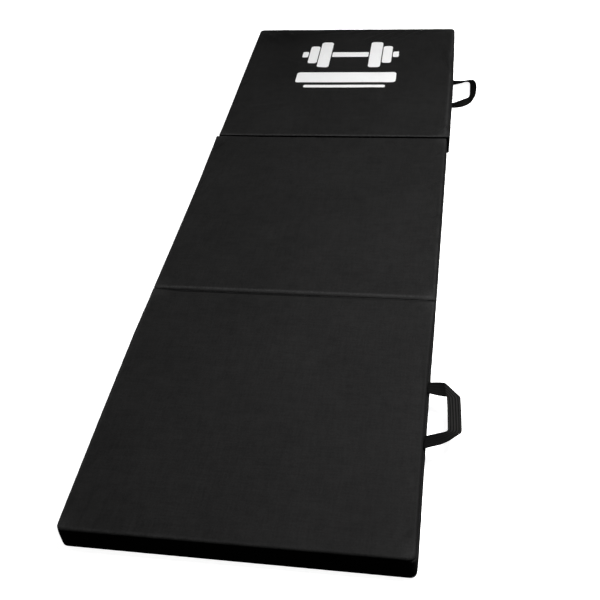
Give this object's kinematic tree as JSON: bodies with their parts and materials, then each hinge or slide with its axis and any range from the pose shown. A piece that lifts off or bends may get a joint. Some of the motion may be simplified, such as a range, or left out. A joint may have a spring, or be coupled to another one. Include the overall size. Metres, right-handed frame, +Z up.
{
  "type": "folding gym mat",
  "caption": "Tri-fold exercise mat with fabric-covered foam panels that fold in a Z, webbing carry handles on one side and a plain white print.",
  "frame": {"origin": "centre of the underside of the middle panel, on the floor, with the mat laid out flat", "axes": "+Z up, +Y along the mat from the plain end to the printed end, +X across the mat to the handle side"},
  "size_m": [0.6763, 1.8, 0.0505],
  "materials": {
    "cover_fabric": "matte",
    "foam": "matte",
    "webbing": "matte",
    "hinge_fabric": "matte",
    "zip_tape": "matte",
    "zip_coil": "satin",
    "zip_metal": "satin",
    "print_white": "satin"
  },
  "bodies": {
    "near_panel": {"near_foam_core": "foam", "near_top_sheet": "cover_fabric", "near_bottom_sheet": "cover_fabric", "near_front_gusset": "cover_fabric", "near_back_gusset": "cover_fabric", "near_right_gusset": "cover_fabric", "near_left_gusset": "cover_fabric", "near_zip_tape": "zip_tape", "near_zip_chain": "zip_coil", "near_fold_strip": "hinge_fabric", "near_handle_front_tail": "webbing", "near_handle_back_tail": "webbing"},
    "middle_panel": {"middle_foam_core": "foam", "middle_top_sheet": "cover_fabric", "middle_bottom_sheet": "cover_fabric", "middle_front_gusset": "cover_fabric", "middle_back_gusset": "cover_fabric", "middle_right_gusset": "cover_fabric", "middle_left_gusset": "cover_fabric", "middle_zip_tape": "zip_tape", "middle_zip_chain": "zip_coil", "far_fold_strip": "hinge_fabric"},
    "far_panel": {"far_foam_core": "foam", "far_top_sheet": "cover_fabric", "far_bottom_sheet": "cover_fabric", "far_front_gusset": "cover_fabric", "far_back_gusset": "cover_fabric", "far_right_gusset": "cover_fabric", "far_left_gusset": "cover_fabric", "far_zip_tape": "zip_tape", "far_zip_chain": "zip_coil", "far_handle_front_tail": "webbing", "far_handle_back_tail": "webbing", "emblem_dumbbell": "print_white", "emblem_wide_bar": "print_white", "emblem_narrow_bar": "print_white"},
    "near_handle": {"near_handle_loop": "webbing"},
    "far_handle": {"far_handle_loop": "webbing"},
    "near_slider": {"near_zip_slider": "zip_metal"},
    "near_pull": {"near_zip_pull": "zip_metal"},
    "middle_slider": {"middle_zip_slider": "zip_metal"},
    "middle_pull": {"middle_zip_pull": "zip_metal"},
    "far_slider": {"far_zip_slider": "zip_metal"},
    "far_pull": {"far_zip_pull": "zip_metal"}
  },
  "joints": [
    {"name": "near_fold", "type": "hinge", "parent": "near_panel", "child": "middle_panel", "pos_m": [0, -0.30075, 0.052], "axis": [1, 0, 0], "range_deg": [0, 180], "deforming": ["near_fold_strip"]},
    {"name": "far_fold", "type": "hinge", "parent": "middle_panel", "child": "far_panel", "pos_m": [0, 0.30075, -0.0015], "axis": [-1, 0, 0], "range_deg": [0, 180], "deforming": ["far_fold_strip"]},
    {"name": "near_handle_swing", "type": "hinge", "parent": "near_panel", "child": "near_handle", "pos_m": [0.303, -0.605, 0.0479], "axis": [0, -1, 0], "range_deg": [-50, 50]},
    {"name": "far_handle_swing", "type": "hinge", "parent": "far_panel", "child": "far_handle", "pos_m": [0.303, 0.6015, 0.0021], "axis": [0, -1, 0], "range_deg": [0, 70]},
    {"name": "near_zip_slide", "type": "slide", "parent": "near_panel", "child": "near_slider", "axis": [0, 1, 0], "range_m": [0, 0.46]},
    {"name": "near_pull_turn", "type": "hinge", "parent": "near_slider", "child": "near_pull", "pos_m": [-0.3035, -0.8315, 0.025], "axis": [0, 0, 1], "range_deg": [0, 180]},
    {"name": "middle_zip_slide", "type": "slide", "parent": "middle_panel", "child": "middle_slider", "axis": [0, 1, 0], "range_m": [0, 0.46]},
    {"name": "middle_pull_turn", "type": "hinge", "parent": "middle_slider", "child": "middle_pull", "pos_m": [-0.3035, -0.23, 0.025], "axis": [0, 0, 1], "range_deg": [0, 180]},
    {"name": "far_zip_slide", "type": "slide", "parent": "far_panel", "child": "far_slider", "axis": [0, 1, 0], "range_m": [0, 0.46]},
    {"name": "far_pull_turn", "type": "hinge", "parent": "far_slider", "child": "far_pull", "pos_m": [-0.3035, 0.3715, 0.025], "axis": [0, 0, 1], "range_deg": [0, 180]}
  ]
}
